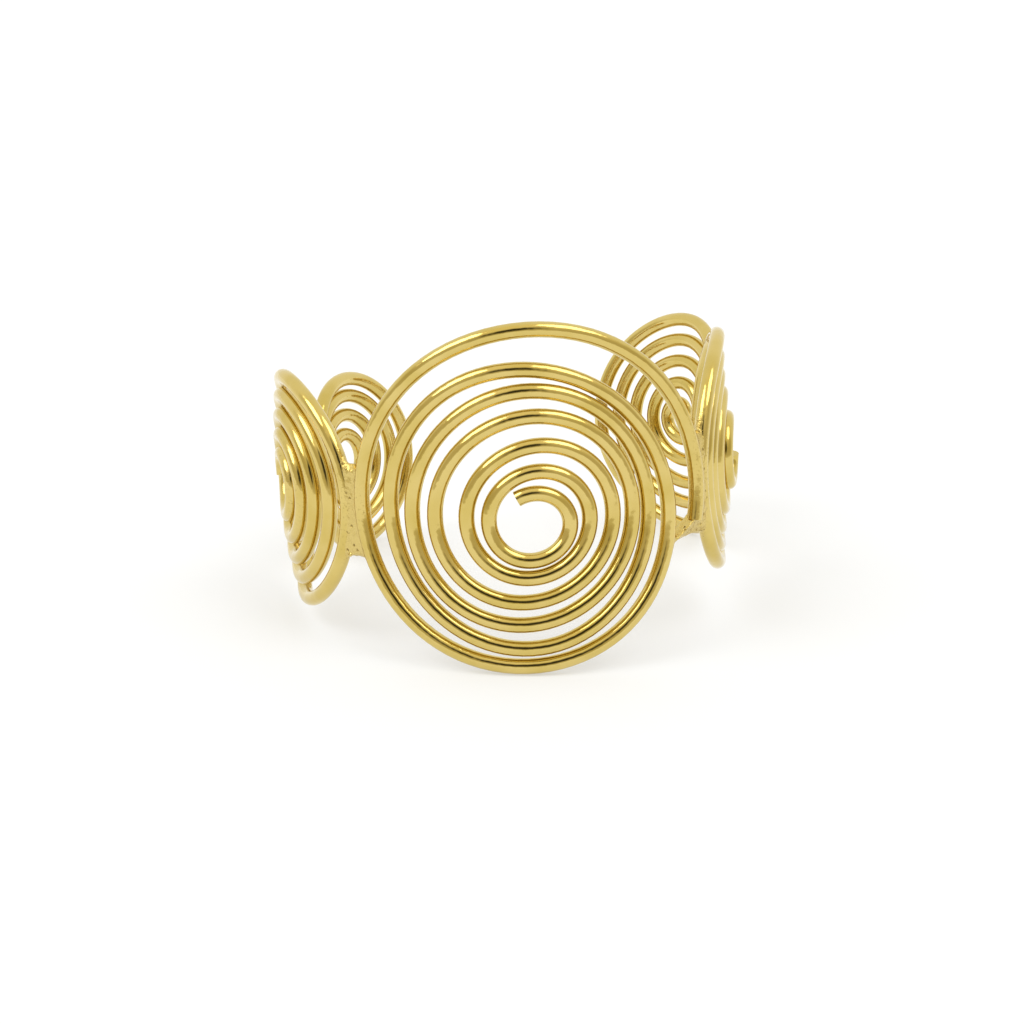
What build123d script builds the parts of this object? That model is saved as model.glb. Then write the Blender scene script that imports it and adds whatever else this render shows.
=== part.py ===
from build123d import *
import math
import os
from typing import NamedTuple

# Swirl bangle: an open cuff of five flat wire swirls, bent round the wrist and soldered edge to edge.
# Millimetres, +Z up. It rests on the floor z = 0 and the origin is under the middle of its box.

# Wire and solder
WIRE_DIAMETER = 2.0
SOLDER_THICKNESS = 1.7
LEFT_GAP = 2.5
LEFT_BACK_GAP = 2.2
RIGHT_GAP = 2.0
RIGHT_BACK_GAP = 2.8

# Steps of the wire path in one turn, each of two tangent arcs, sections of the solder,
# and points at which the outer turn is looked at
STEPS_PER_TURN = 8
SOLDER_SECTIONS = 5
RIM_SAMPLES = 96

# Outer radius of each swirl, to the middle of its wire, and the middle of the front swirl
FRONT_RADIUS = 22.2
SIDE_LEFT_RADIUS = 16.2
SIDE_RIGHT_RADIUS = 16.2
BACK_LEFT_RADIUS = 13.2
BACK_RIGHT_RADIUS = 17.4
FRONT_FACING = 3.7

# How far the hub of each swirl stands out of its rim, and the radius each swirl is bent to
FRONT_DOME = 1.5
SIDE_LEFT_DOME = 1.5
SIDE_RIGHT_DOME = 2.0
BACK_LEFT_DOME = 1.5
BACK_RIGHT_DOME = 0.8
FRONT_BEND_RADIUS = 39.5
SIDE_LEFT_BEND_RADIUS = 27.0
SIDE_RIGHT_BEND_RADIUS = 49.0
BACK_LEFT_BEND_RADIUS = 34.0
BACK_RIGHT_BEND_RADIUS = 20.0

# Front swirl, a row for each half turn from the inner end
# Columns: radius, shift to the right, shift up, as shares of the outer radius
FRONT_TURNS = [
    (0.20, 0.005, -0.15),
    (0.22, 0.00, -0.10),
    (0.265, 0.03, -0.095),
    (0.33, 0.015, -0.08),
    (0.415, 0.04, -0.105),
    (0.48, -0.015, -0.07),
    (0.57, 0.03, -0.09),
    (0.595, -0.025, -0.085),
    (0.72, 0.04, -0.09),
    (0.685, -0.075, -0.16),
    (0.695, -0.10, 0.035),
    (0.865, 0.06, -0.035),
    (1.045, -0.03, -0.11),
    (1.08, -0.03, 0.115),
]

# Other swirls, a row for each full turn from the inner end, the last one the outer radius
# Columns: radius, shift to the right, shift up, as shares of the outer radius
SIDE_LEFT_TURNS = [
    (0.17, -0.06, 0.06),
    (0.34, -0.04, 0.05),
    (0.51, -0.02, 0.04),
    (0.67, 0.00, 0.04),
    (0.83, 0.02, 0.03),
    (1.00, 0.04, 0.02),
]
SIDE_RIGHT_TURNS = [
    (0.14, -0.04, -0.02),
    (0.375, -0.03, -0.02),
    (0.56, -0.02, -0.01),
    (0.71, -0.01, -0.01),
    (0.855, 0.00, 0.00),
    (1.015, 0.01, 0.01),
]
BACK_LEFT_TURNS = [
    (0.17, 0.00, -0.01),
    (0.38, 0.00, -0.02),
    (0.60, 0.00, -0.02),
    (0.82, 0.00, -0.03),
    (1.00, 0.00, -0.03),
]
BACK_RIGHT_TURNS = [
    (0.07, 0.08, -0.08),
    (0.24, 0.05, -0.08),
    (0.43, 0.02, -0.08),
    (0.62, 0.00, -0.08),
    (0.79, -0.03, -0.08),
    (1.00, -0.06, -0.08),
]


class Swirl(NamedTuple):
    radius: float
    bend: float
    dome: float
    dome_steepness: int
    rows: list
    rows_in_turn: int
    turns: float
    inner_angle: float
    lean: float


SWIRLS = {
    "back_left": Swirl(
        BACK_LEFT_RADIUS, BACK_LEFT_BEND_RADIUS, BACK_LEFT_DOME, 1, BACK_LEFT_TURNS, 1, 4.0, 0, 0.0
    ),
    "side_left": Swirl(
        SIDE_LEFT_RADIUS, SIDE_LEFT_BEND_RADIUS, SIDE_LEFT_DOME, 1, SIDE_LEFT_TURNS, 1, 5.0, 180, 0.8
    ),
    "front": Swirl(
        FRONT_RADIUS, FRONT_BEND_RADIUS, FRONT_DOME, 1, FRONT_TURNS, 2, 6.35, 111.5, -0.2
    ),
    "side_right": Swirl(
        SIDE_RIGHT_RADIUS, SIDE_RIGHT_BEND_RADIUS, SIDE_RIGHT_DOME, 5, SIDE_RIGHT_TURNS, 1, 5.0, 0, 3.0
    ),
    "back_right": Swirl(
        BACK_RIGHT_RADIUS, BACK_RIGHT_BEND_RADIUS, BACK_RIGHT_DOME, 1, BACK_RIGHT_TURNS, 1, 5.0, 180, 3.5
    ),
}


class Joint(NamedTuple):
    near: str
    far: str
    side: int
    gap: float
    gap_turn: float
    joint_turn: float
    rise: float
    top: float
    bottom: float


# From the front swirl outwards, side +1 to its right: turns in degrees, heights over the near hub
JOINTS = [
    Joint("front", "side_left", -1, LEFT_GAP, 12.5, 14.5, 1.1, 6.5, -7.0),
    Joint("side_left", "back_left", -1, LEFT_BACK_GAP, 3.0, -13.0, -2.2, 5.0, -5.0),
    Joint("front", "side_right", 1, RIGHT_GAP, 34.0, 31.0, 0.4, 7.0, -7.8),
    Joint("side_right", "back_right", 1, RIGHT_BACK_GAP, -60.0, -32.5, 1.4, 5.0, -6.0),
]


def turned(vector, azimuth):
    """A vector (along, outward, up) of a swirl facing an azimuth, measured from -Y towards +X."""
    along, outward, up = vector
    a = math.radians(azimuth)
    return Vector(along * math.cos(a) + outward * math.sin(a), along * math.sin(a) - outward * math.cos(a), up)


def blended(rows, place):
    """The row at a place between the rows of a table, by a smooth curve through them."""
    i = max(0, min(int(place), len(rows) - 2))
    u = place - i
    b, c = rows[i], rows[i + 1]
    a = rows[i - 1] if i > 0 else tuple(2 * p - q for p, q in zip(b, c))
    d = rows[i + 2] if i + 2 < len(rows) else tuple(2 * q - p for p, q in zip(b, c))
    return tuple(
        0.5 * (2 * q + (r - p) * u + (2 * p - 5 * q + 4 * r - s) * u**2 + (3 * q - p - 3 * r + s) * u**3)
        for p, q, r, s in zip(a, b, c, d)
    )


def flat_point(name, turn):
    """Where the wire of the unbent swirl is after some turns: to the right and up, seen from outside."""
    swirl = SWIRLS[name]
    share, right, up = blended(swirl.rows, turn * swirl.rows_in_turn)
    angle = math.radians(swirl.inner_angle) - 2 * math.pi * turn
    return swirl.radius * (right + share * math.cos(angle)), swirl.radius * (up + share * math.sin(angle))


def bent_point(name, hub, right, up):
    """A point of the flat swirl after it is domed, bent round the wrist and leant, in the cuff's frame."""
    swirl = SWIRLS[name]
    position, azimuth = hub
    dome = swirl.dome * (1 - (right**2 + up**2) / swirl.radius**2) ** swirl.dome_steepness
    along = (swirl.bend + dome) * math.sin(right / swirl.bend)
    outward = (swirl.bend + dome) * math.cos(right / swirl.bend) - swirl.bend
    tip = math.radians(swirl.lean)
    across = outward * math.cos(tip) + up * math.sin(tip)
    height = up * math.cos(tip) - outward * math.sin(tip)
    return position + turned((along, across, height), azimuth)


def reach(name, side):
    """How far the outer turn goes to one side of the hub, along the bend."""
    turns = SWIRLS[name].turns
    return max(side * flat_point(name, turns - 1 + k / RIM_SAMPLES)[0] for k in range(RIM_SAMPLES + 1))


def chained_hubs():
    """Hub position and facing azimuth of each swirl, walking along the cuff from the front one."""
    hubs = {"front": (turned((0, FRONT_BEND_RADIUS, 0), FRONT_FACING), FRONT_FACING)}
    for joint in JOINTS:
        position, azimuth = hubs[joint.near]
        bend = SWIRLS[joint.near].bend
        rim_azimuth = azimuth + joint.side * math.degrees(reach(joint.near, joint.side) / bend)
        axis = position - turned((0, bend, 0), azimuth)
        near_rim = axis + turned((0, bend, 0), rim_azimuth)
        gap = (joint.side * joint.gap, 0, joint.rise)
        far_rim = near_rim + turned(gap, rim_azimuth + joint.side * joint.gap_turn)
        far_bend = SWIRLS[joint.far].bend
        far_rim_azimuth = rim_azimuth + joint.side * joint.joint_turn
        far_azimuth = far_rim_azimuth + joint.side * math.degrees(reach(joint.far, -joint.side) / far_bend)
        far_axis = far_rim - turned((0, far_bend, 0), far_rim_azimuth)
        hubs[joint.far] = (far_axis + turned((0, far_bend, 0), far_azimuth), far_azimuth)
    return hubs


HUBS = chained_hubs()


def wire_point(name, turn):
    """Middle of a swirl's wire after some turns, in the cuff's frame."""
    return bent_point(name, HUBS[name], *flat_point(name, turn))


def rim_point(name, side, height):
    """Middle of the outermost wire at a height over the hub, on one side of a swirl."""
    turns = SWIRLS[name].turns
    path = [flat_point(name, turns - 1.5 * k / RIM_SAMPLES) for k in range(RIM_SAMPLES + 1)]
    crossings = [
        right + (height - up) / (next_up - up) * (next_right - right)
        for (right, up), (next_right, next_up) in zip(path, path[1:])
        if side * right > 0 and (up - height) * (next_up - height) < 0
    ]
    return bent_point(name, HUBS[name], side * max(side * right for right in crossings), height)


def resting_plane():
    """The plane that touches the cuff's three lowest swirls from below, in the cuff's frame."""
    lowest = []
    for name in ["front", "back_left", "back_right"]:
        turns = SWIRLS[name].turns
        points = [wire_point(name, turns - 1 + k / RIM_SAMPLES) for k in range(RIM_SAMPLES + 1)]
        lowest.append(min(points, key=lambda p: p.Z))
    front, left, right = lowest
    normal = (right - front).cross(left - front).normalized()
    across = Vector(1, 0, 0) - normal * normal.X
    return Plane(origin=front - normal * WIRE_DIAMETER / 2, x_dir=across, z_dir=normal)


FLOOR = resting_plane()


def set_down(point):
    """A point of the cuff's frame on the floor, before centring."""
    return FLOOR.to_local_coords(point)


def wire_path_nodes(name):
    """Points and directions along a swirl's wire, as it rests."""
    turns = SWIRLS[name].turns
    count = math.ceil(turns * STEPS_PER_TURN)
    small = 1e-4
    nodes = []
    for k in range(count + 1):
        turn = turns * k / count
        here = set_down(wire_point(name, turn))
        ahead = set_down(wire_point(name, turn + small))
        behind = set_down(wire_point(name, turn - small))
        nodes.append((here, (ahead - behind).normalized()))
    return nodes


def arc_pair(start, end):
    """Middle point and direction of the two tangent arcs that join two points with given directions."""
    (p, s), (q, t) = start, end
    chord = q - p
    a = 2 * (s.dot(t) - 1)
    b = -2 * chord.dot(s + t)
    c = chord.dot(chord)
    reach_out = c / -b if abs(a) < 1e-9 else (-b - math.sqrt(b * b - 4 * a * c)) / (2 * a)
    first = p + s * reach_out
    second = q - t * reach_out
    return (first + second) / 2, (second - first).normalized()


def wound_wire(name):
    """One swirl of round wire."""
    nodes = wire_path_nodes(name)
    with BuildPart() as tube:
        with BuildLine() as path:
            for start, end in zip(nodes, nodes[1:]):
                middle, direction = arc_pair(start, end)
                TangentArc(start[0], middle, tangent=start[1])
                TangentArc(middle, end[0], tangent=direction)
        with BuildSketch(Plane(origin=nodes[0][0], z_dir=nodes[0][1])):
            Circle(WIRE_DIAMETER / 2)
        sweep(path=path.wire())
    return tube.part


def solder(joint):
    """The solder that fills the wedge between two outer turns, from wire middle to wire middle."""
    with BuildPart() as web:
        for k in range(SOLDER_SECTIONS):
            height = joint.bottom + (joint.top - joint.bottom) * k / (SOLDER_SECTIONS - 1)
            start = set_down(rim_point(joint.near, joint.side, height))
            end = set_down(rim_point(joint.far, -joint.side, height - joint.rise))
            across = end - start
            through = across.cross(Vector(0, 0, 1))
            with BuildSketch(Plane(origin=(start + end) / 2, x_dir=across, z_dir=through.cross(across))):
                Rectangle(across.length, SOLDER_THICKNESS)
        loft(ruled=True)
    return web.part


# All swirls and joints, one piece of metal
with BuildPart() as soldered:
    for swirl_name in SWIRLS:
        add(wound_wire(swirl_name))
    for swirl_joint in JOINTS:
        add(solder(swirl_joint))

# Centred over the origin
box = soldered.part.bounding_box()
with BuildPart() as swirl_bangle:
    add(soldered.part.moved(Location((-box.center().X, -box.center().Y, -box.min.Z))))

os.makedirs("parts", exist_ok=True)
swirl_bangle.part.label = "swirl bangle"
export_step(swirl_bangle.part, "parts/swirl_bangle.step")
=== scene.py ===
import math
import random
from functools import lru_cache
from typing import NamedTuple

import bmesh
import bpy
import numpy as np
from bpy.props import FloatProperty, FloatVectorProperty, PointerProperty
from bpy.types import Operator, Panel, PropertyGroup
from mathutils import Matrix, Vector, noise


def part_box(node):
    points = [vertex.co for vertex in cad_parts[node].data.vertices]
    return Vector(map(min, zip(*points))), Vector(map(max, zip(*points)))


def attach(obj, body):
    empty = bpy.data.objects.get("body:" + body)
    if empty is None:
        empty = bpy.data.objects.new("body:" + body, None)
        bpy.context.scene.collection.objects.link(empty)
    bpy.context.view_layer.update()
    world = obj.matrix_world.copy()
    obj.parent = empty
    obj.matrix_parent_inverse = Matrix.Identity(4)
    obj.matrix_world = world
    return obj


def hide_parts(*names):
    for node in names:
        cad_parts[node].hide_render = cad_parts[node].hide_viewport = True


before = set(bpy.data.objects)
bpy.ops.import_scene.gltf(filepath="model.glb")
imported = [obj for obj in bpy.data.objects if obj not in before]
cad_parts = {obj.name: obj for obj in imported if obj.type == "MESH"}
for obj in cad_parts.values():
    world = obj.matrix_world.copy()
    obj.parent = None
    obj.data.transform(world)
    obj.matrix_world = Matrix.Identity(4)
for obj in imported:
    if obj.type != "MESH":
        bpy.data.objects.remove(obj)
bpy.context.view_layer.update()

bl_info = {
    "name": "Swirl Bangle",
    "version": (1, 0, 0),
    "blender": (4, 5, 0),
    "location": "3D View > Sidebar > Swirl Bangle",
    "description": "An open cuff of five swirls of gold plated brass wire, soldered edge to edge",
    "category": "Add Mesh",
}

MM = 0.001

# The swirls and joints are the ones of the solid model: millimetres and degrees, +Z up.
# Rows of the front swirl stand for half turns and those of the others for full turns, from the inner end.
# Columns: radius, shift to the right, shift up, as shares of the outer radius
FRONT_TURNS = [
    (0.20, 0.005, -0.15),
    (0.22, 0.00, -0.10),
    (0.265, 0.03, -0.095),
    (0.33, 0.015, -0.08),
    (0.415, 0.04, -0.105),
    (0.48, -0.015, -0.07),
    (0.57, 0.03, -0.09),
    (0.595, -0.025, -0.085),
    (0.72, 0.04, -0.09),
    (0.685, -0.075, -0.16),
    (0.695, -0.10, 0.035),
    (0.865, 0.06, -0.035),
    (1.045, -0.03, -0.11),
    (1.08, -0.03, 0.115),
]
SIDE_LEFT_TURNS = [
    (0.17, -0.06, 0.06),
    (0.34, -0.04, 0.05),
    (0.51, -0.02, 0.04),
    (0.67, 0.00, 0.04),
    (0.83, 0.02, 0.03),
    (1.00, 0.04, 0.02),
]
SIDE_RIGHT_TURNS = [
    (0.14, -0.04, -0.02),
    (0.375, -0.03, -0.02),
    (0.56, -0.02, -0.01),
    (0.71, -0.01, -0.01),
    (0.855, 0.00, 0.00),
    (1.015, 0.01, 0.01),
]
BACK_LEFT_TURNS = [
    (0.17, 0.00, -0.01),
    (0.38, 0.00, -0.02),
    (0.60, 0.00, -0.02),
    (0.82, 0.00, -0.03),
    (1.00, 0.00, -0.03),
]
BACK_RIGHT_TURNS = [
    (0.07, 0.08, -0.08),
    (0.24, 0.05, -0.08),
    (0.43, 0.02, -0.08),
    (0.62, 0.00, -0.08),
    (0.79, -0.03, -0.08),
    (1.00, -0.06, -0.08),
]
FRONT_FACING = 3.7
WIRE_RADIUS = 1.0
RIM_SAMPLES = 96
# The last turns of each wire hold its outermost points
RIM_TURNS = 1.2
# The last turns in which a rim is sought, and the steps along them
SOUGHT_TURNS, SOUGHT_STEPS = 1.5, 400

# The drawn wire: its sides, its steps and waves in a turn, and the angle from which an edge is sharp
WIRE_SIDES = 28
STEPS_PER_TURN = 90
WAVES_PER_TURN = 3.0
WAVE_SEED = 1
SHARP_WIRE_EDGE = math.radians(50)
# Paste and flux near a joint, whose dark specks there are also painted shade in the crevices beside it: the
# points on it that distances are taken from, and how far from them the paste and painted shade reach and over
# what width they fade, in millimetres
POINTS_ON_JOINT = 9
PASTE_AND_SHADE_REACH, PASTE_AND_SHADE_FADE = 2.8, 1.6
# Paste round a hub: the turns that it fills, and how much of it is left there, from 0 to 1
PASTE_TURNS = 2.2
PASTE_AT_HUB = {"back_left": 0.3, "side_left": 0.6, "front": 0.0, "side_right": 0.1, "back_right": 0.3}


class Swirl(NamedTuple):
    """A flat spiral, then domed, bent round the wrist and leant: lengths in millimetres, angles in degrees."""

    radius: float
    bend: float
    dome: float
    dome_steepness: int
    rows: list
    rows_in_turn: int
    turns: float
    inner_angle: float
    lean: float


SWIRLS = {
    "back_left": Swirl(13.2, 34.0, 1.5, 1, BACK_LEFT_TURNS, 1, 4.0, 0, 0.0),
    "side_left": Swirl(16.2, 27.0, 1.5, 1, SIDE_LEFT_TURNS, 1, 5.0, 180, 0.8),
    "front": Swirl(22.2, 39.5, 1.5, 1, FRONT_TURNS, 2, 6.35, 111.5, -0.2),
    "side_right": Swirl(16.2, 49.0, 2.0, 5, SIDE_RIGHT_TURNS, 1, 5.0, 0, 3.0),
    "back_right": Swirl(17.4, 20.0, 0.8, 1, BACK_RIGHT_TURNS, 1, 5.0, 180, 3.5),
}


class Joint(NamedTuple):
    """Solder between two swirls, and how the far one is set beside the near one: millimetres and degrees."""

    near: str
    far: str
    side: int
    gap: float
    gap_turn: float
    joint_turn: float
    rise: float
    top: float
    bottom: float


JOINTS = {
    "solder_front_left": Joint("front", "side_left", -1, 2.5, 12.5, 14.5, 1.1, 6.5, -7.0),
    "solder_back_left": Joint("side_left", "back_left", -1, 2.2, 3.0, -13.0, -2.2, 5.0, -5.0),
    "solder_front_right": Joint("front", "side_right", 1, 2.0, 34.0, 31.0, 0.4, 7.0, -7.8),
    "solder_back_right": Joint("side_right", "back_right", 1, 2.8, -60.0, -32.5, 1.4, 5.0, -6.0),
}


def linear(hex_colour):
    """A colour in linear light from its sRGB hex value."""
    shares = [int(hex_colour[i : i + 2], 16) / 255 for i in (0, 2, 4)]
    return tuple(c / 12.92 if c <= 0.04045 else ((c + 0.055) / 1.055) ** 2.4 for c in shares)


class WireSettings(PropertyGroup):
    """Sizes and colours of the wound wires"""

    thickness: FloatProperty(
        name="Wire diameter",
        description="Diameter of the drawn wire",
        default=2 * WIRE_RADIUS * MM,
        min=0.0005,
        max=0.0022,
        subtype="DISTANCE",
        unit="LENGTH",
    )
    unevenness: FloatProperty(
        name="Hand winding",
        description="How far the wire wanders from an even curve where it was wound by hand",
        default=0.00007,
        min=0,
        max=0.0003,
        subtype="DISTANCE",
        unit="LENGTH",
    )
    gold: FloatVectorProperty(
        name="Gold plating",
        description="Colour of the polished plating",
        default=linear("DCC57A"),
        size=3,
        min=0,
        max=1,
        subtype="COLOR",
    )
    thin_gold: FloatVectorProperty(
        name="Thin plating",
        description="Colour where the plating is thin and the brass shows through",
        default=linear("D1B966"),
        size=3,
        min=0,
        max=1,
        subtype="COLOR",
    )


class SolderSettings(PropertyGroup):
    """Sizes and colours of the solder"""

    thickness: FloatProperty(
        name="Solder thickness",
        description="Thickness of the solder between two swirls",
        default=1.7 * MM,
        min=0.0005,
        max=0.002,
        subtype="DISTANCE",
        unit="LENGTH",
    )
    grain: FloatProperty(
        name="Grain",
        description="Height of the lumps and pits on the solder",
        default=0.00008,
        min=0,
        max=0.0004,
        subtype="DISTANCE",
        unit="LENGTH",
    )
    gold: FloatVectorProperty(
        name="Plated solder",
        description="Colour of the plating on the solder",
        default=linear("D8C178"),
        size=3,
        min=0,
        max=1,
        subtype="COLOR",
    )
    residue: FloatVectorProperty(
        name="Residue",
        description="Colour of the flux and polishing paste left in pits and narrow places",
        default=linear("7D6128"),
        size=3,
        min=0,
        max=1,
        subtype="COLOR",
    )


class StageSettings(PropertyGroup):
    """Colour of the floor and brightness of the lights"""

    floor: FloatVectorProperty(
        name="Floor",
        description="Colour of the matt floor",
        default=linear("B4B7BF"),
        size=3,
        min=0,
        max=1,
        subtype="COLOR",
    )
    glow: FloatProperty(
        name="Glow",
        description="How much light the table top gives off by itself",
        default=0.48,
        min=0,
        max=2,
    )
    room: FloatProperty(
        name="Room light",
        description="Brightness of the pale room round the table",
        default=1.0,
        min=0,
        max=5,
    )
    lamps: FloatProperty(
        name="Lamps",
        description="Brightness of the two soft lamps",
        default=1.0,
        min=0,
        max=20,
    )


def turned(vector, azimuth):
    """A vector (along, outward, up) of a swirl facing an azimuth, measured from -Y towards +X."""
    along, outward, up = vector
    a = math.radians(azimuth)
    east = along * math.cos(a) + outward * math.sin(a)
    north = along * math.sin(a) - outward * math.cos(a)
    return np.array((east, north, up))


def blended(rows, place):
    """The row at a place between the rows of a table, by a smooth curve through them."""
    i = max(0, min(int(place), len(rows) - 2))
    u = place - i
    b, c = rows[i], rows[i + 1]
    a = rows[i - 1] if i > 0 else tuple(2 * p - q for p, q in zip(b, c))
    d = rows[i + 2] if i + 2 < len(rows) else tuple(2 * q - p for p, q in zip(b, c))
    return tuple(
        0.5 * (2 * q + (r - p) * u + (2 * p - 5 * q + 4 * r - s) * u**2 + (3 * q - p - 3 * r + s) * u**3)
        for p, q, r, s in zip(a, b, c, d)
    )


def flat_point(name, turn):
    """Where the wire of the unbent swirl is after some turns: to the right and up, seen from outside."""
    swirl = SWIRLS[name]
    share, right, up = blended(swirl.rows, turn * swirl.rows_in_turn)
    angle = math.radians(swirl.inner_angle) - 2 * math.pi * turn
    return swirl.radius * (right + share * math.cos(angle)), swirl.radius * (up + share * math.sin(angle))


def bent_point(name, hub, right, up):
    """A point of the flat swirl after it is domed, bent round the wrist and leant, in the cuff's frame."""
    swirl = SWIRLS[name]
    position, azimuth = hub
    dome = swirl.dome * (1 - (right**2 + up**2) / swirl.radius**2) ** swirl.dome_steepness
    along = (swirl.bend + dome) * math.sin(right / swirl.bend)
    outward = (swirl.bend + dome) * math.cos(right / swirl.bend) - swirl.bend
    tip = math.radians(swirl.lean)
    across = outward * math.cos(tip) + up * math.sin(tip)
    height = up * math.cos(tip) - outward * math.sin(tip)
    return position + turned((along, across, height), azimuth)


def reach(name, side):
    """How far the outer turn goes to one side of the hub, along the bend."""
    turns = SWIRLS[name].turns
    return max(side * flat_point(name, turns - 1 + k / RIM_SAMPLES)[0] for k in range(RIM_SAMPLES + 1))


def chained_hubs():
    """Hub position and facing azimuth of each swirl, walking along the cuff from the front one."""
    hubs = {"front": (turned((0, SWIRLS["front"].bend, 0), FRONT_FACING), FRONT_FACING)}
    for joint in JOINTS.values():
        position, azimuth = hubs[joint.near]
        bend = SWIRLS[joint.near].bend
        rim_azimuth = azimuth + joint.side * math.degrees(reach(joint.near, joint.side) / bend)
        axis = position - turned((0, bend, 0), azimuth)
        near_rim = axis + turned((0, bend, 0), rim_azimuth)
        gap = (joint.side * joint.gap, 0, joint.rise)
        far_rim = near_rim + turned(gap, rim_azimuth + joint.side * joint.gap_turn)
        far_bend = SWIRLS[joint.far].bend
        far_rim_azimuth = rim_azimuth + joint.side * joint.joint_turn
        far_azimuth = far_rim_azimuth + joint.side * math.degrees(reach(joint.far, -joint.side) / far_bend)
        far_axis = far_rim - turned((0, far_bend, 0), far_rim_azimuth)
        hubs[joint.far] = (far_axis + turned((0, far_bend, 0), far_azimuth), far_azimuth)
    return hubs


HUBS = chained_hubs()


def wire_point(name, turn):
    """Middle of a swirl's wire after some turns, in the cuff's frame."""
    return bent_point(name, HUBS[name], *flat_point(name, turn))


def resting_plane():
    """Origin and axes of the plane that touches the cuff's three lowest swirls from below."""
    lowest = []
    for name in ["front", "back_left", "back_right"]:
        turns = SWIRLS[name].turns
        points = [wire_point(name, turns - 1 + k / RIM_SAMPLES) for k in range(RIM_SAMPLES + 1)]
        lowest.append(min(points, key=lambda p: p[2]))
    front, left, right = lowest
    normal = np.cross(right - front, left - front)
    normal /= np.linalg.norm(normal)
    across = np.array((1, 0, 0)) - normal * normal[0]
    across /= np.linalg.norm(across)
    return front - normal * WIRE_RADIUS, np.array((across, np.cross(normal, across), normal))


FLOOR_ORIGIN, FLOOR_AXES = resting_plane()


def set_down(point):
    """A point of the cuff's frame on the floor, before centring."""
    return FLOOR_AXES @ (point - FLOOR_ORIGIN)


def centring():
    """The move that puts the swirls over the middle of the solid model's box."""
    line = np.array([
        set_down(wire_point(name, swirl.turns - RIM_TURNS * k / RIM_SAMPLES))
        for name, swirl in SWIRLS.items()
        for k in range(RIM_SAMPLES + 1)
    ])
    low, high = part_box("swirl_bangle")
    middle = (line.min(0) + line.max(0)) / 2
    up = low.z / MM + WIRE_RADIUS - line[:, 2].min()
    return np.array(((low.x + high.x) / 2 / MM - middle[0], (low.y + high.y) / 2 / MM - middle[1], up))


CENTRING = centring()


def placed(point):
    """A point of the cuff's frame where it is in the row's frame, in millimetres."""
    return set_down(point) + CENTRING


@lru_cache
def outer_path(name):
    """Places along the last turns of a swirl's wire, in turns, and where the wire is there when flat."""
    turns = SWIRLS[name].turns
    places = turns - SOUGHT_TURNS * np.arange(SOUGHT_STEPS + 1) / SOUGHT_STEPS
    return places, np.array([flat_point(name, turn) for turn in places])


def rim_place(name, side, height):
    """The place along the wire, in turns, where the outermost wire on one side is at a height over the hub."""
    places, points = outer_path(name)
    rights, ups = points[:, 0], points[:, 1]
    crossings = np.nonzero(((ups[:-1] - height) * (ups[1:] - height) <= 0) & (side * rights[:-1] > 0))[0]
    i = max(crossings, key=lambda k: side * rights[k])
    share = (height - ups[i]) / (ups[i + 1] - ups[i])
    return places[i] + share * (places[i + 1] - places[i])


def rim_point(name, side, height):
    """Middle of the outermost wire at a height over the hub, on one side of a swirl."""
    return placed(wire_point(name, rim_place(name, side, height)))


def facing(name, turn):
    """The direction square to the bent swirl, outwards, where its wire is after some turns."""
    right, up = flat_point(name, turn)
    small = 0.01
    here = bent_point(name, HUBS[name], right, up)
    along = bent_point(name, HUBS[name], right + small, up) - here
    upward = bent_point(name, HUBS[name], right, up + small) - here
    square = FLOOR_AXES @ np.cross(along, upward)
    return square / np.linalg.norm(square)


def joint_lines():
    """Points along the middle of every joint, for the residue that soldering leaves near it and the painted
    shade beside it.
    """
    points = []
    for joint in JOINTS.values():
        for k in range(POINTS_ON_JOINT):
            height = joint.bottom + (joint.top - joint.bottom) * k / (POINTS_ON_JOINT - 1)
            start = rim_point(joint.near, joint.side, height)
            end = rim_point(joint.far, -joint.side, height - joint.rise)
            points.append((start + end) / 2)
    return np.array(points)


# Width of a cut end in the wire's UV map, in millimetres from its middle
END_SPREAD = 0.2


def tube(centres, squares, radii, sides, name):
    """A closed tube of round sections along a line, with its length and girth in its UV map."""
    centres, squares = np.array(centres), np.array(squares)
    along = np.gradient(centres, axis=0)
    along /= np.linalg.norm(along, axis=1)[:, None]
    squares = squares - along * (squares * along).sum(1)[:, None]
    squares /= np.linalg.norm(squares, axis=1)[:, None]
    across = np.cross(along, squares)
    lengths = np.concatenate(([0], np.cumsum(np.linalg.norm(np.diff(centres, axis=0), axis=1))))
    angles = 2 * np.pi * np.arange(sides) / sides
    rings = (
        centres[:, None]
        + radii[:, None, None] * np.cos(angles)[None, :, None] * squares[:, None]
        + radii[:, None, None] * np.sin(angles)[None, :, None] * across[:, None]
    )
    mesh = bpy.data.meshes.new(name)
    count = len(centres)
    faces = [
        (i * sides + j, i * sides + (j + 1) % sides, (i + 1) * sides + (j + 1) % sides, (i + 1) * sides + j)
        for i in range(count - 1)
        for j in range(sides)
    ]
    faces.append(tuple(reversed(range(sides))))
    faces.append(tuple((count - 1) * sides + j for j in range(sides)))
    mesh.from_pydata((rings.reshape(-1, 3) * MM).tolist(), [], faces)
    layer = mesh.uv_layers.new(name="wire")
    girth = 2 * np.pi * WIRE_RADIUS / sides
    for face_index, polygon in enumerate(mesh.polygons):
        i, j = divmod(face_index, sides)
        for corner, loop in enumerate(polygon.loop_indices):
            if i < count - 1:
                ahead, round_ = corner in (2, 3), corner in (1, 2)
                layer.data[loop].uv = (lengths[i + ahead], (j + round_) * girth)
            else:
                around = angles[corner]
                layer.data[loop].uv = (END_SPREAD * math.cos(around), END_SPREAD * math.sin(around))
    return mesh


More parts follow.
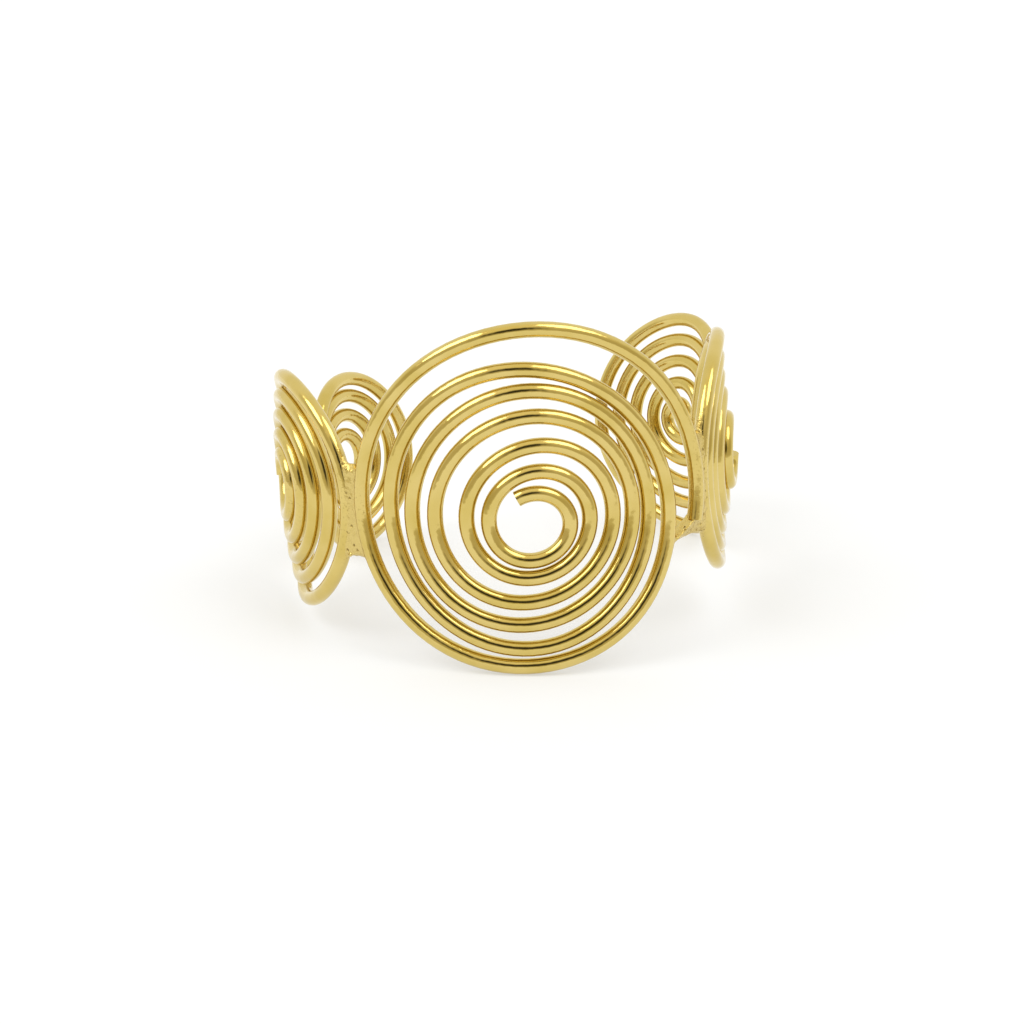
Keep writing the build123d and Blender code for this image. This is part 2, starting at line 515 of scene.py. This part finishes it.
def finished_piece(mesh, name, material, smooth_angle):
    """Puts a mesh into the scene as a piece that rides on the bangle and stands for its solid."""
    piece = bpy.data.objects.new(name, mesh)
    bpy.context.scene.collection.objects.link(piece)
    work = bmesh.new()
    work.from_mesh(mesh)
    bmesh.ops.recalc_face_normals(work, faces=work.faces)
    for edge in work.edges:
        edge.smooth = edge.calc_face_angle(0) < smooth_angle
    for face in work.faces:
        face.smooth = True
    work.to_mesh(mesh)
    work.free()
    mesh.materials.append(material)
    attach(piece, "root")
    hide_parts("swirl_bangle")


def add_node(tree, kind, settings=None, links=None):
    """Adds a node, gives its properties and inputs their values and links other nodes' outputs into it."""
    node = tree.nodes.new(kind)
    for key, value in (settings or {}).items():
        if isinstance(key, int) or key in node.inputs:
            node.inputs[key].default_value = value
        else:
            setattr(node, key, value)
    for key, output in (links or {}).items():
        tree.links.new(output, node.inputs[key])
    return node


def per_metre(millimetres):
    """The scale of a pattern whose parts are so many millimetres apart."""
    return 1 / (millimetres * MM)


def new_material(name):
    """A material without nodes."""
    material = bpy.data.materials.new(name)
    material.use_nodes = True
    material.node_tree.nodes.clear()
    return material


def polished_wire_material():
    """Drawn brass wire, wound, polished and gold plated: a clear mirror with a slightly wavy skin."""
    name = "drawn brass wire, polished and gold plated"
    if name in bpy.data.materials:
        return bpy.data.materials[name]
    settings = bpy.context.scene.swirl_wire
    solder = bpy.context.scene.swirl_solder
    material = new_material(name)
    tree = material.node_tree
    place = add_node(tree, "ShaderNodeTexCoord").outputs["Object"]
    uv = add_node(tree, "ShaderNodeUVMap", {"uv_map": "wire"}).outputs["UV"]
    # The plating is thinner in patches about 6 mm across, which turns the gold warmer
    patches = add_node(
        tree, "ShaderNodeTexNoise", {"Scale": per_metre(6), "Detail": 3.0}, {"Vector": place}
    ).outputs["Fac"]
    patch_share = add_node(
        tree, "ShaderNodeMapRange", {"From Min": 0.4, "From Max": 0.68}, {"Value": patches}
    ).outputs["Result"]
    gold = add_node(
        tree,
        "ShaderNodeMix",
        {"data_type": "RGBA", 6: (*settings.gold, 1), 7: (*settings.thin_gold, 1)},
        {0: patch_share},
    ).outputs[2]
    # Paste and flux stay near the solder, as fine dark specks 0.35 mm apart. Near the joints these specks are
    # also painted shade, darkening the crevices there
    near = add_node(tree, "ShaderNodeAttribute", {"attribute_name": "paste_and_painted_shade"}).outputs["Fac"]
    specks = add_node(
        tree,
        "ShaderNodeTexNoise",
        {"Scale": per_metre(0.35), "Detail": 4.0, "Roughness": 0.65},
        {"Vector": place},
    ).outputs["Fac"]
    speck_and_shade_share = add_node(
        tree, "ShaderNodeMapRange", {"From Min": 0.56, "From Max": 0.72, "To Max": 0.7}, {"Value": specks}
    ).outputs["Result"]
    residue = add_node(
        tree, "ShaderNodeMath", {"operation": "MULTIPLY"}, {0: near, 1: speck_and_shade_share}
    ).outputs[0]
    colour = add_node(
        tree, "ShaderNodeMix", {"data_type": "RGBA", 7: (*solder.residue, 1)}, {0: residue, 6: gold}
    ).outputs[2]
    # The die leaves lines along the wire. Here they are 0.25 mm apart, coarser than the real ones, so that they
    # show as a faint satin streak in the mirror
    stretched = add_node(
        tree, "ShaderNodeMapping", {"Scale": (0.12, 4.0, 1.0)}, {"Vector": uv}
    ).outputs["Vector"]
    lines = add_node(
        tree, "ShaderNodeTexNoise", {"Scale": 1.0, "Detail": 3.0, "Roughness": 0.6}, {"Vector": stretched}
    ).outputs["Fac"]
    gloss = add_node(
        tree, "ShaderNodeMapRange", {"To Min": 0.06, "To Max": 0.15}, {"Value": lines}
    ).outputs["Result"]
    roughness = add_node(
        tree, "ShaderNodeMath", {"operation": "MULTIPLY_ADD", 1: 0.35}, {0: residue, 2: gloss}
    ).outputs[0]
    # Winding by hand leaves shallow waves about 2.5 mm long in the skin of the wire
    waves = add_node(
        tree, "ShaderNodeTexNoise", {"Scale": per_metre(2.5), "Detail": 2.0}, {"Vector": place}
    ).outputs["Fac"]
    wavy = add_node(
        tree, "ShaderNodeBump", {"Strength": 0.25, "Distance": 0.0003}, {"Height": waves}
    ).outputs["Normal"]
    lined = add_node(
        tree, "ShaderNodeBump", {"Strength": 0.12, "Distance": 0.00004}, {"Height": lines, "Normal": wavy}
    ).outputs["Normal"]
    grainy = add_node(
        tree, "ShaderNodeBump", {"Strength": 0.2, "Distance": 0.0001}, {"Height": residue, "Normal": lined}
    ).outputs["Normal"]
    shader = add_node(
        tree,
        "ShaderNodeBsdfPrincipled",
        {"Metallic": 1.0},
        {"Base Color": colour, "Roughness": roughness, "Normal": grainy},
    )
    add_node(tree, "ShaderNodeOutputMaterial", {}, {"Surface": shader.outputs["BSDF"]})
    return material


def plated_solder_material():
    """Solder run by a torch and plated over: a satin skin with grains, pits and dark residue in them."""
    name = "torch run solder, gold plated"
    if name in bpy.data.materials:
        return bpy.data.materials[name]
    settings = bpy.context.scene.swirl_solder
    material = new_material(name)
    tree = material.node_tree
    place = add_node(tree, "ShaderNodeTexCoord").outputs["Object"]
    # The torch leaves grains of about 0.45 mm, and pits about 1 mm apart that hold dark residue
    grains = add_node(
        tree,
        "ShaderNodeTexNoise",
        {"Scale": per_metre(0.45), "Detail": 5.0, "Roughness": 0.65},
        {"Vector": place},
    ).outputs["Fac"]
    cells = add_node(
        tree, "ShaderNodeTexVoronoi", {"Scale": per_metre(1.0), "Randomness": 1.0}, {"Vector": place}
    ).outputs["Distance"]
    pits = add_node(
        tree,
        "ShaderNodeMapRange",
        {"From Min": 0.1, "From Max": 0.22, "To Min": 1.0, "To Max": 0.0},
        {"Value": cells},
    ).outputs["Result"]
    dirt = add_node(
        tree, "ShaderNodeMapRange", {"From Min": 0.58, "From Max": 0.8}, {"Value": grains}
    ).outputs["Result"]
    dark = add_node(
        tree, "ShaderNodeMath", {"operation": "MAXIMUM"}, {0: pits, 1: dirt}
    ).outputs[0]
    share = add_node(
        tree, "ShaderNodeMath", {"operation": "MULTIPLY", 1: 0.6}, {0: dark}
    ).outputs[0]
    colour = add_node(
        tree,
        "ShaderNodeMix",
        {"data_type": "RGBA", 6: (*settings.gold, 1), 7: (*settings.residue, 1)},
        {0: share},
    ).outputs[2]
    roughness = add_node(
        tree, "ShaderNodeMapRange", {"To Min": 0.24, "To Max": 0.6}, {"Value": dark}
    ).outputs["Result"]
    grainy = add_node(
        tree, "ShaderNodeBump", {"Strength": 0.3, "Distance": 0.00025}, {"Height": grains}
    ).outputs["Normal"]
    pitted = add_node(
        tree,
        "ShaderNodeBump",
        {"invert": True, "Strength": 0.6, "Distance": 0.0002},
        {"Height": pits, "Normal": grainy},
    ).outputs["Normal"]
    shader = add_node(
        tree,
        "ShaderNodeBsdfPrincipled",
        {"Metallic": 1.0},
        {"Base Color": colour, "Roughness": roughness, "Normal": pitted},
    )
    add_node(tree, "ShaderNodeOutputMaterial", {}, {"Surface": shader.outputs["BSDF"]})
    return material


def matt_floor_material():
    """Matt white acrylic table top, lit from below: no gloss, and only soft shadows."""
    settings = bpy.context.scene.swirl_stage
    material = new_material("matt white acrylic, lit from below")
    tree = material.node_tree
    shader = add_node(
        tree,
        "ShaderNodeBsdfPrincipled",
        {
            "Base Color": (*settings.floor, 1),
            "Roughness": 0.9,
            "Specular IOR Level": 0.1,
            "Emission Color": (1, 1, 1, 1),
            "Emission Strength": settings.glow,
        },
    )
    add_node(tree, "ShaderNodeOutputMaterial", {}, {"Surface": shader.outputs["BSDF"]})
    return material


def wound_wire(name):
    """One swirl of round wire, with the slight waves of winding by hand and both ends cut off."""
    settings = bpy.context.scene.swirl_wire
    swirl = SWIRLS[name]
    count = math.ceil(swirl.turns * STEPS_PER_TURN)
    solder_points = joint_lines()
    # Blender seeds this noise by the clock unless it is given a seed. Each wire has a line of its own through it
    noise.seed_set(WAVE_SEED)
    line = 10.0 * list(SWIRLS).index(name)
    centres, squares = [], []
    for k in range(count + 1):
        turn = swirl.turns * k / count
        centre = placed(wire_point(name, turn))
        square = facing(name, turn)
        # There are no waves on the outer turn, which rests on the floor
        wave = noise.noise_vector(Vector((WAVES_PER_TURN * turn, line, 0.0)))
        wander = settings.unevenness / MM * min(1, max(0, swirl.turns - 1 - turn)) * np.array(wave)
        centres.append(centre + wander)
        squares.append(square)
    radius = settings.thickness / MM / 2
    mesh = tube(centres, squares, np.full(count + 1, radius), WIRE_SIDES, name)
    spots = np.array([v.co for v in mesh.vertices]) / MM
    distances = np.min(np.linalg.norm(spots[:, None] - solder_points[None], axis=2), axis=1)
    turns = swirl.turns * (np.arange(len(spots)) // WIRE_SIDES) / count
    # Near a joint the dark specks are paste and flux, and also painted shade in the crevices beside the joint
    paste_and_shade_by_joint = np.clip((PASTE_AND_SHADE_REACH - distances) / PASTE_AND_SHADE_FADE, 0, 1)
    by_hub = PASTE_AT_HUB[name] * np.clip(PASTE_TURNS - turns, 0, 1)
    near = np.maximum(paste_and_shade_by_joint, by_hub)
    mesh.attributes.new("paste_and_painted_shade", "FLOAT", "POINT").data.foreach_set("value", near.astype(np.float32))
    finished_piece(mesh, name + "_swirl", polished_wire_material(), SHARP_WIRE_EDGE)


# The sheet of solder: the heights at which it meets the wires, and its grid
SOLDER_SECTIONS = 5
SHEET_ROWS, SHEET_COLUMNS = 40, 10
# How far its bottom and top are hollowed, in millimetres, the share by which it is thinner at its middle, and
# how squarely its bottom and top are rounded
HOLLOW_BOTTOM, HOLLOW_TOP = 0.5, 0.9
SHEET_WAIST = 0.2
SHEET_EDGE_POWER = 8
# The sleeves along the wires, in millimetres: how far they go past the sheet and stand off towards the gap,
# their radius at the ends and what it gains at the middle
SLEEVE_PAST, SLEEVE_OFFSET = 0.6, 0.4
SLEEVE_RADIUS, SLEEVE_GAIN = 0.62, 0.2
SLEEVE_STEPS, SLEEVE_SIDES = 60, 20
# A sleeve stops where the rim passes to the next turn of the wire, which is a jump in turns. It has at least
# so many steps
JUMP_TURNS = 0.3
SHORTEST_SLEEVE = 8
# The lumps: their number, their radii and least distances from the sheet's bottom and top in millimetres, and
# their places across the gap and in its thickness as shares
LUMPS = 26
LUMP_RADII = (0.15, 0.36)
LUMP_FROM_BOTTOM, LUMP_FROM_TOP = 0.6, 1
LUMP_ACROSS = (0.2, 0.8)
LUMP_DEPTH = 0.36
# How finely the solder is run together, in millimetres, and how it is smoothed
RUN_VOXEL = 0.16
RUN_SMOOTHING, RUN_ROUNDS = 0.5, 6
# The width of its grains in millimetres, and how many times finer and how high the second ones are
GRAIN_WIDTH = 0.9
FINER_GRAIN, FINER_GRAIN_SHARE = 2.3, 0.5


@lru_cache
def solder_sections(joint):
    """Where the solder meets both wires at some heights, as in the solid model."""
    heights = np.linspace(joint.bottom, joint.top, SOLDER_SECTIONS)
    starts = np.array([rim_point(joint.near, joint.side, height) for height in heights])
    ends = np.array([rim_point(joint.far, -joint.side, height - joint.rise) for height in heights])
    return heights, starts, ends


def solder_span(joint, height):
    """Where the solder meets both wires at a height, and the direction through it, outwards."""
    heights, starts, ends = solder_sections(joint)
    start, end = (np.array([np.interp(height, heights, row[:, k]) for k in range(3)]) for row in (starts, ends))
    through = np.cross(end - start, (0, 0, 1)) * joint.side
    return start, end, through / np.linalg.norm(through)


def solder_sheet(work, joint, thickness):
    """The solder between two outer turns, hollowed at its top and bottom where it creeps up the wires."""
    rows, columns = SHEET_ROWS, SHEET_COLUMNS
    sheets = []
    for face_side in (1, -1):
        grid = []
        for i in range(rows + 1):
            line = []
            for j in range(columns + 1):
                share = j / columns
                belly = 1 - (2 * share - 1) ** 2
                bottom, top = joint.bottom + HOLLOW_BOTTOM * belly, joint.top - HOLLOW_TOP * belly
                start, end, through = solder_span(joint, bottom + (top - bottom) * i / rows)
                edge = (1 - (2 * i / rows - 1) ** SHEET_EDGE_POWER) ** 0.5
                offset = face_side * thickness / 2 * (1 - SHEET_WAIST * belly) * edge
                line.append(work.verts.new((start + (end - start) * share + through * offset) * MM))
            grid.append(line)
        sheets.append(grid)
    front, back = sheets
    for i in range(rows):
        for j in range(columns):
            work.faces.new((front[i][j], front[i][j + 1], front[i + 1][j + 1], front[i + 1][j]))
            work.faces.new((back[i][j], back[i + 1][j], back[i + 1][j + 1], back[i][j + 1]))
    for i in range(rows):
        work.faces.new((front[i][0], front[i + 1][0], back[i + 1][0], back[i][0]))
        work.faces.new((front[i][columns], back[i][columns], back[i + 1][columns], front[i + 1][columns]))
    for j in range(columns):
        work.faces.new((front[0][j], back[0][j], back[0][j + 1], front[0][j + 1]))
        work.faces.new((front[rows][j], front[rows][j + 1], back[rows][j + 1], back[rows][j]))


def solder_sleeves(work, joint, name, side, rise):
    """Solder that clings to the wire beside a joint, on the side of the gap, thinning out at both ends."""
    heights = np.linspace(joint.bottom - SLEEVE_PAST, joint.top + SLEEVE_PAST, SLEEVE_STEPS)
    places = [rim_place(name, side, height - rise) for height in heights]
    stretches = [[0]]
    for k in range(1, len(places)):
        if abs(places[k] - places[k - 1]) > JUMP_TURNS:
            stretches.append([])
        stretches[-1].append(k)
    for stretch in stretches:
        if len(stretch) < SHORTEST_SLEEVE:
            continue
        centres, squares = [], []
        for k in stretch:
            start, end, _ = solder_span(joint, heights[k])
            gap = (end - start) / np.linalg.norm(end - start) * (1 if name == joint.near else -1)
            centres.append(placed(wire_point(name, places[k])) + SLEEVE_OFFSET * gap)
            squares.append(facing(name, places[k]))
        steps = np.linspace(-1, 1, len(stretch))
        radii = SLEEVE_RADIUS + SLEEVE_GAIN * (1 - steps**4)
        sleeve = tube(centres, squares, radii, SLEEVE_SIDES, "sleeve")
        work.from_mesh(sleeve)
        bpy.data.meshes.remove(sleeve)


def soldered_joint(name, joint):
    """One joint: the sheet and its sleeves run together, then roughened by grains and pits."""
    settings = bpy.context.scene.swirl_solder
    thickness = settings.thickness / MM
    work = bmesh.new()
    solder_sheet(work, joint, thickness)
    solder_sleeves(work, joint, joint.near, joint.side, 0)
    solder_sleeves(work, joint, joint.far, -joint.side, joint.rise)
    draw = random.Random(name)
    for _ in range(LUMPS):
        height = draw.uniform(joint.bottom + LUMP_FROM_BOTTOM, joint.top - LUMP_FROM_TOP)
        start, end, through = solder_span(joint, height)
        spot = start + (end - start) * draw.uniform(*LUMP_ACROSS)
        spot = spot + through * draw.choice((-1, 1)) * thickness * LUMP_DEPTH
        bmesh.ops.create_icosphere(
            work,
            subdivisions=2,
            radius=draw.uniform(*LUMP_RADII) * MM,
            matrix=Matrix.Translation(Vector(spot) * MM),
        )
    bmesh.ops.recalc_face_normals(work, faces=work.faces)
    mesh = bpy.data.meshes.new(name)
    work.to_mesh(mesh)
    work.free()
    run = bpy.data.objects.new(name + "_run", mesh)
    bpy.context.scene.collection.objects.link(run)
    remesh = run.modifiers.new("run together", "REMESH")
    remesh.mode = "VOXEL"
    remesh.voxel_size = RUN_VOXEL * MM
    smooth = run.modifiers.new("surface tension", "SMOOTH")
    smooth.factor = RUN_SMOOTHING
    smooth.iterations = RUN_ROUNDS
    flowed = bpy.data.meshes.new_from_object(run.evaluated_get(bpy.context.evaluated_depsgraph_get()))
    bpy.data.objects.remove(run)
    bpy.data.meshes.remove(mesh)
    flowed.name = name
    for vertex, normal in zip(flowed.vertices, [v.normal.copy() for v in flowed.vertices]):
        spot = vertex.co * per_metre(GRAIN_WIDTH)
        rise = noise.noise(spot) + FINER_GRAIN_SHARE * noise.noise(spot * FINER_GRAIN)
        vertex.co += normal * settings.grain * rise
    finished_piece(flowed, name, plated_solder_material(), math.pi)


class SWIRL_OT_front(Operator):
    """Winds the large front swirl"""

    bl_idname = "swirl.front_swirl"
    bl_label = "Front swirl"

    def execute(self, context):
        wound_wire("front")
        return {"FINISHED"}


class SWIRL_OT_sides(Operator):
    """Winds the two swirls at the sides of the wrist"""

    bl_idname = "swirl.side_swirls"
    bl_label = "Side swirls"

    def execute(self, context):
        wound_wire("side_left")
        wound_wire("side_right")
        return {"FINISHED"}


class SWIRL_OT_backs(Operator):
    """Winds the two swirls at the back, on both sides of the opening"""

    bl_idname = "swirl.back_swirls"
    bl_label = "Back swirls"

    def execute(self, context):
        wound_wire("back_left")
        wound_wire("back_right")
        return {"FINISHED"}


class SWIRL_OT_solder(Operator):
    """Runs the solder of the four joints"""

    bl_idname = "swirl.solder_joints"
    bl_label = "Solder joints"

    def execute(self, context):
        for name, joint in JOINTS.items():
            soldered_joint(name, joint)
        return {"FINISHED"}


FLOOR_RADIUS = 4.0
# The camera, at the photo's viewing angle: millimetres and degrees
CAMERA_PLACE = (0.95, -292.49, 100.31)
CAMERA_AZIMUTH, CAMERA_ELEVATION, CAMERA_ROLL = -0.05, 17.11, 0.54
CAMERA_LENS, SENSOR_WIDTH = 76.99, 36
# The two soft lamps. Columns: name, azimuth, elevation and width in degrees as seen from the bangle, brightness
LAMPS = [
    ("lamp_left", -62, 47, 36, 2.7),
    ("lamp_right", 62, 58, 36, 2.0),
]
# Colours of the walls, by the upward part of the direction to them, and of the white sweep behind the bangle
WALLS = [
    (0.0, "E2DDC8"),
    (0.12, "CEC5A8"),
    (0.4, "D1C8AA"),
    (0.8, "FFF6D7"),
]
SWEEP_COLOUR, SWEEP_START, SWEEP_END = "FDFCF6", -0.25, 0.35
# The dark place over the camera: its middle in degrees, its half axes, and the shares of them where it ends
# and where it is full
DARK_COLOUR = "38352C"
DARK_AZIMUTH, DARK_ELEVATION = 1, 27
DARK_SIZE = (0.36, 1.0, 0.36)
DARK_END, DARK_FULL = 1.1, 0.35


def aim(azimuth, elevation):
    """The direction from the bangle to a place in the room, its azimuth measured from the camera's side."""
    a, e = math.radians(azimuth), math.radians(elevation)
    return Vector((math.sin(a) * math.cos(e), -math.cos(a) * math.cos(e), math.sin(e)))


def soft_lamp(name, azimuth, elevation, width, brightness):
    """A wide soft lamp that shines evenly on the whole table."""
    light = bpy.data.lights.new(name, "SUN")
    light.angle = math.radians(width)
    light.energy = brightness * 2 * math.pi * (1 - math.cos(light.angle / 2))
    lamp = bpy.data.objects.new(name, light)
    bpy.context.scene.collection.objects.link(lamp)
    lamp.location = aim(azimuth, elevation)
    lamp.rotation_euler = (-aim(azimuth, elevation)).to_track_quat("-Z", "Y").to_euler()


def pale_room(strength):
    """Warm walls, a white sweep behind and a dark place over the camera, which draws the metal's dark lines."""
    world = bpy.data.worlds.new("pale room")
    bpy.context.scene.world = world
    world.use_nodes = True
    tree = world.node_tree
    tree.nodes.clear()
    direction = add_node(tree, "ShaderNodeTexCoord").outputs["Generated"]
    parts = add_node(tree, "ShaderNodeSeparateXYZ", {}, {"Vector": direction}).outputs
    walls = add_node(tree, "ShaderNodeValToRGB", {}, {"Fac": parts["Z"]})
    stops = walls.color_ramp.elements
    while len(stops) < len(WALLS):
        stops.new(0.5)
    for stop, (height, wall_colour) in zip(stops, WALLS):
        stop.position = height
        stop.color = (*linear(wall_colour), 1)
    behind = add_node(
        tree,
        "ShaderNodeMapRange",
        {"interpolation_type": "SMOOTHSTEP", "From Min": SWEEP_START, "From Max": SWEEP_END},
        {"Value": parts["Y"]},
    ).outputs["Result"]
    swept = add_node(
        tree,
        "ShaderNodeMix",
        {"data_type": "RGBA", 7: (*linear(SWEEP_COLOUR), 1)},
        {0: behind, 6: walls.outputs["Color"]},
    ).outputs[2]
    # The dark place is an ellipse in directions, measured from its middle
    offset = add_node(
        tree,
        "ShaderNodeVectorMath",
        {"operation": "SUBTRACT", 1: tuple(aim(DARK_AZIMUTH, DARK_ELEVATION))},
        {0: direction},
    ).outputs["Vector"]
    scaled = add_node(
        tree, "ShaderNodeVectorMath", {"operation": "DIVIDE", 1: DARK_SIZE}, {0: offset}
    ).outputs["Vector"]
    from_middle = add_node(tree, "ShaderNodeVectorMath", {"operation": "LENGTH"}, {0: scaled}).outputs["Value"]
    dark = add_node(
        tree,
        "ShaderNodeMapRange",
        {"interpolation_type": "SMOOTHSTEP", "From Min": DARK_END, "From Max": DARK_FULL},
        {"Value": from_middle},
    ).outputs["Result"]
    colour = add_node(
        tree,
        "ShaderNodeMix",
        {"data_type": "RGBA", 7: (*linear(DARK_COLOUR), 1)},
        {0: dark, 6: swept},
    ).outputs[2]
    background = add_node(tree, "ShaderNodeBackground", {"Strength": strength}, {"Color": colour})
    add_node(tree, "ShaderNodeOutputWorld", {}, {"Surface": background.outputs["Background"]})


def photo_camera():
    """The camera where the photo was taken from."""
    data = bpy.data.cameras.new("camera")
    data.lens = CAMERA_LENS
    data.sensor_width = SENSOR_WIDTH
    data.clip_start = 0.01
    camera = bpy.data.objects.new("camera", data)
    bpy.context.scene.collection.objects.link(camera)
    azimuth, elevation, roll = (math.radians(a) for a in (CAMERA_AZIMUTH, CAMERA_ELEVATION, CAMERA_ROLL))
    forward = Vector(
        (math.sin(azimuth) * math.cos(elevation), math.cos(azimuth) * math.cos(elevation), -math.sin(elevation))
    )
    right = Vector((math.cos(azimuth), -math.sin(azimuth), 0))
    up = right.cross(forward)
    rolled = right * math.cos(roll) + up * math.sin(roll)
    turn = Matrix((rolled, rolled.cross(forward), -forward)).transposed().to_4x4()
    camera.matrix_world = Matrix.Translation(Vector(CAMERA_PLACE) * MM) @ turn
    bpy.context.scene.camera = camera


class SWIRL_OT_stage(Operator):
    """Sets up the matt floor, the pale room, two soft lamps and the camera"""

    bl_idname = "swirl.stage"
    bl_label = "Stage"

    def execute(self, context):
        settings = context.scene.swirl_stage
        mesh = bpy.data.meshes.new("floor")
        work = bmesh.new()
        bmesh.ops.create_circle(work, cap_ends=True, segments=96, radius=FLOOR_RADIUS)
        work.to_mesh(mesh)
        work.free()
        mesh.materials.append(matt_floor_material())
        floor = bpy.data.objects.new("floor", mesh)
        context.scene.collection.objects.link(floor)
        pale_room(settings.room)
        for name, azimuth, elevation, width, brightness in LAMPS:
            soft_lamp(name, azimuth, elevation, width, brightness * settings.lamps)
        photo_camera()
        context.scene.view_settings.view_transform = "Standard"
        return {"FINISHED"}


class SWIRL_PT_panel(Panel):
    """The settings, and the steps that make the bangle and its stage"""

    bl_label = "Swirl Bangle"
    bl_idname = "SWIRL_PT_panel"
    bl_space_type = "VIEW_3D"
    bl_region_type = "UI"
    bl_category = "Swirl Bangle"

    def draw(self, context):
        scene = context.scene
        for settings, operators in [
            (scene.swirl_wire, (SWIRL_OT_front, SWIRL_OT_sides, SWIRL_OT_backs)),
            (scene.swirl_solder, (SWIRL_OT_solder,)),
            (scene.swirl_stage, (SWIRL_OT_stage,)),
        ]:
            for name in settings.__annotations__:
                self.layout.prop(settings, name)
            for operator in operators:
                self.layout.operator(operator.bl_idname)


CLASSES = [
    WireSettings,
    SolderSettings,
    StageSettings,
    SWIRL_OT_front,
    SWIRL_OT_sides,
    SWIRL_OT_backs,
    SWIRL_OT_solder,
    SWIRL_OT_stage,
    SWIRL_PT_panel,
]


def register():
    for cls in CLASSES:
        bpy.utils.register_class(cls)
    bpy.types.Scene.swirl_wire = PointerProperty(type=WireSettings)
    bpy.types.Scene.swirl_solder = PointerProperty(type=SolderSettings)
    bpy.types.Scene.swirl_stage = PointerProperty(type=StageSettings)


def unregister():
    del bpy.types.Scene.swirl_stage
    del bpy.types.Scene.swirl_solder
    del bpy.types.Scene.swirl_wire
    for cls in reversed(CLASSES):
        bpy.utils.unregister_class(cls)


def main():
    """Makes the bangle and its stage."""
    register()
    bpy.ops.swirl.stage()
    bpy.ops.swirl.front_swirl()
    bpy.ops.swirl.side_swirls()
    bpy.ops.swirl.back_swirls()
    bpy.ops.swirl.solder_joints()


if __name__ == "__main__":
    main()
